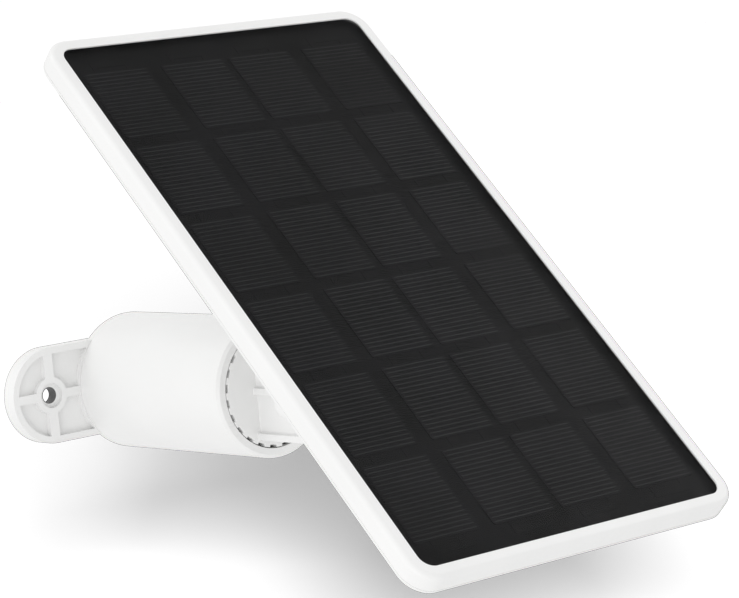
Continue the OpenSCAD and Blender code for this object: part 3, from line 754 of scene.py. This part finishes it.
def add_slab(mesh, outline, low, high, material, tone, value):
    """Adds a flat solid of that outline between two heights, and writes its tone on its faces."""
    bottom = [mesh.verts.new((x, y, low)) for x, y in outline]
    top = [mesh.verts.new((x, y, high)) for x, y in outline]
    faces = [mesh.faces.new(bottom[::-1]), mesh.faces.new(top)]
    for i in range(len(outline)):
        j = (i + 1) % len(outline)
        faces.append(mesh.faces.new((bottom[i], bottom[j], top[j], top[i])))
    for face in faces:
        face.material_index = material
        face[tone] = value


def cut_corner_outline(low, high, cut):
    return [
        (low.x + cut, low.y), (high.x - cut, low.y), (high.x, low.y + cut), (high.x, high.y - cut),
        (high.x - cut, high.y), (low.x + cut, high.y), (low.x, high.y - cut), (low.x, low.y + cut),
    ]


def solar_cells():
    """Each cell as a thin slab with cut corners and fine printed lines across it."""
    mesh = bmesh.new()
    tone = mesh.faces.layers.float.new("tone")
    for low, high in solids_of("solar_cells", PANEL):
        shade = random.random()
        top = high.z - FINGER_HEIGHT
        add_slab(mesh, cut_corner_outline(low, high, CELL_CORNER), low.z, top, 0, tone, shade)
        span = high.y - low.y - 2 * CELL_MARGIN
        count = round(span / FINGER_PITCH)
        for i in range(count + 1):
            y = low.y + CELL_MARGIN + span * i / count
            left = low.x + CELL_MARGIN
            right = high.x - CELL_MARGIN
            line = [
                (left, y - FINGER_WIDTH / 2), (right, y - FINGER_WIDTH / 2),
                (right, y + FINGER_WIDTH / 2), (left, y + FINGER_WIDTH / 2),
            ]
            add_slab(mesh, line, top, high.z, 1, tone, shade)
    paints = ["solar_cell", "printed_silver"]
    add_piece("solar_cells_printed", mesh, PANEL, ["solar_cells"], paints)


# ---------------------------------------------------------------- the object

SOFTENED = {
    # node: (edge radius in millimetres, material)
    "housing": (0.15, "white_shell"),
    "swivel_arm": (0.25, "white_shell"),
    "panel_bracket": (0.15, "white_shell"),
    "front_frame": (0.15, "white_shell"),
    "cover_sheet": (0.1, "dark_sheet"),
    "backing_board": (0.1, "black_board"),
    "friction_pads": (0.1, "black_rubber"),
    "click_ring": (0.1, "spring_steel"),
    "bearing_bush": (0.2, "nylon"),
    "cable_gland": (0.15, "nylon"),
    "board_parts": (0.2, "dark_parts"),
    "circuit_board": (0.08, "green_board"),
}

SCREWS = {
    # node: (place, head towards +z, thread radius, head radius, head height, sides)
    "bracket_screws": (PANEL, False, 2 * MM, 3.6 * MM, 2.4 * MM, 48),
    "housing_screws": (WALL, False, 1.5 * MM, 3 * MM, 2 * MM, 48),
    "axle_screw": (WALL, False, 2.5 * MM, 5 * MM, 3 * MM, 48),
    "board_screws": (PANEL, True, 1 * MM, 1.9 * MM, 1.1 * MM, 32),
}

for node, (radius, paint) in SOFTENED.items():
    softened(node, radius * MM, paint)

solar_cells()
tilt_bolt()
tilt_nut()
washers("tilt_washers", BOLT, 3.2 * MM, "nylon")
washers("bearing_washer", WALL, 8.3 * MM, "steel")
washers("thrust_washer", WALL, 2.7 * MM, "steel")
for node, settings in SCREWS.items():
    screws(node, *settings)
inserts("bracket_inserts", PANEL, 2.02 * MM)
inserts("stem_insert", WALL, 2.52 * MM)

# CAD pieces that stay as they are, with a finish other than their slot's
OWN_FINISH = {"wall_plate": "white_plate", "back_shell": "white_textured"}

for node, piece in frame["nodes"].items():
    if not piece.hide_render:
        piece.data.materials.clear()
        piece.data.materials.append(MATERIALS[OWN_FINISH.get(node, slot_of(node))])


# ---------------------------------------------------------------- floor and light

FLOOR_GAP = 1 * MM
FLOOR_SIZE = 12.0
LAMP_DISTANCE = 1.6  # metres
# azimuth and elevation in degrees, seen from the object; width in metres and power in watts
LAMPS = {
    "key": (-130, 50, 0.9, 4.4),
    "fill": (-60, -15, 0.9, 5.8),
    "rim": (75, 35, 0.6, 2.8),
}
SHADOW_LAMP = (-38, 10.8, 0.32, 850)
SHADOW_LAMP_DISTANCE = 2.5  # metres
WORLD_LIGHT = 0.89
WORLD_SEEN = 1.04


def sweep_reach():
    """The panel's farthest corner from the swivel axis while the panel stands upright.
    Between rest and upright the panel reaches a few millimetres farther than this."""
    hinge = PANEL.inverted() @ box_middle("friction_pads")
    low, high = solids_of("front_frame", PANEL)[0]
    return math.hypot(high.x, max(high.y - hinge.y, hinge.y - low.y))


def make_floor():
    """A pale floor that the panel clears at rest and at both ends of its tilt, however it is turned.
    It only catches shadows: it throws no light back at the object, which the even light from below
    stands in for."""
    mesh = bmesh.new()
    bmesh.ops.create_grid(mesh, x_segments=1, y_segments=1, size=FLOOR_SIZE / 2)
    data = bpy.data.meshes.new("floor")
    mesh.to_mesh(data)
    mesh.free()
    floor = bpy.data.objects.new("floor", data)
    bpy.context.scene.collection.objects.link(floor)
    floor.location = (0, 0, -sweep_reach() - FLOOR_GAP)
    paint = Paint("floor", Roughness=0.5, Specular_IOR_Level=0.2)
    paint.set("Base Color", paint.blend(paint.noise(0.3), (0.93, 0.93, 0.93), (0.95, 0.95, 0.95)))
    data.materials.append(paint.material)
    floor.is_shadow_catcher = True
    floor.visible_diffuse = False
    floor.visible_glossy = False
    floor.visible_transmission = False
    floor.visible_shadow = False
    return floor


def make_world():
    """Even white light all round, behind a plain white background."""
    world = bpy.data.worlds.new("studio")
    world.use_nodes = True
    tree = world.node_tree
    light = tree.nodes["Background"]
    light.inputs["Color"].default_value = (1, 1, 1, 1)
    light.inputs["Strength"].default_value = WORLD_LIGHT
    seen = tree.nodes.new("ShaderNodeBackground")
    seen.inputs["Color"].default_value = (1, 1, 1, 1)
    seen.inputs["Strength"].default_value = WORLD_SEEN
    path = tree.nodes.new("ShaderNodeLightPath")
    mix = tree.nodes.new("ShaderNodeMixShader")
    tree.links.new(path.outputs["Is Camera Ray"], mix.inputs["Fac"])
    tree.links.new(light.outputs[0], mix.inputs[1])
    tree.links.new(seen.outputs[0], mix.inputs[2])
    tree.links.new(mix.outputs[0], tree.nodes["World Output"].inputs["Surface"])
    bpy.context.scene.world = world


def make_lamp(name, azimuth, elevation, width, power, distance=LAMP_DISTANCE):
    """A square softbox facing the object."""
    turn = math.radians(azimuth)
    rise = math.radians(elevation)
    outward = Vector((
        math.sin(turn) * math.cos(rise), -math.cos(turn) * math.cos(rise), math.sin(rise)))
    data = bpy.data.lights.new(name, "AREA")
    data.shape = "SQUARE"
    data.size = width
    data.energy = power
    lamp = bpy.data.objects.new(name, data)
    bpy.context.scene.collection.objects.link(lamp)
    lamp.location = (cad_low + cad_high) / 2 + outward * distance
    lamp.rotation_mode = "QUATERNION"
    lamp.rotation_quaternion = outward.to_track_quat("Z", "Y")
    return lamp


def light_only(lamp, target):
    """Keeps a lamp's light to one object; everything still casts its shadow there."""
    receivers = bpy.data.collections.new(lamp.name + "_receivers")
    receivers.objects.link(target)
    lamp.light_linking.receiver_collection = receivers


floor = make_floor()
make_world()
for name, settings in LAMPS.items():
    make_lamp(name, *settings)
light_only(make_lamp("shadow_lamp", *SHADOW_LAMP, distance=SHADOW_LAMP_DISTANCE), floor)
bpy.context.scene.view_settings.view_transform = "Standard"
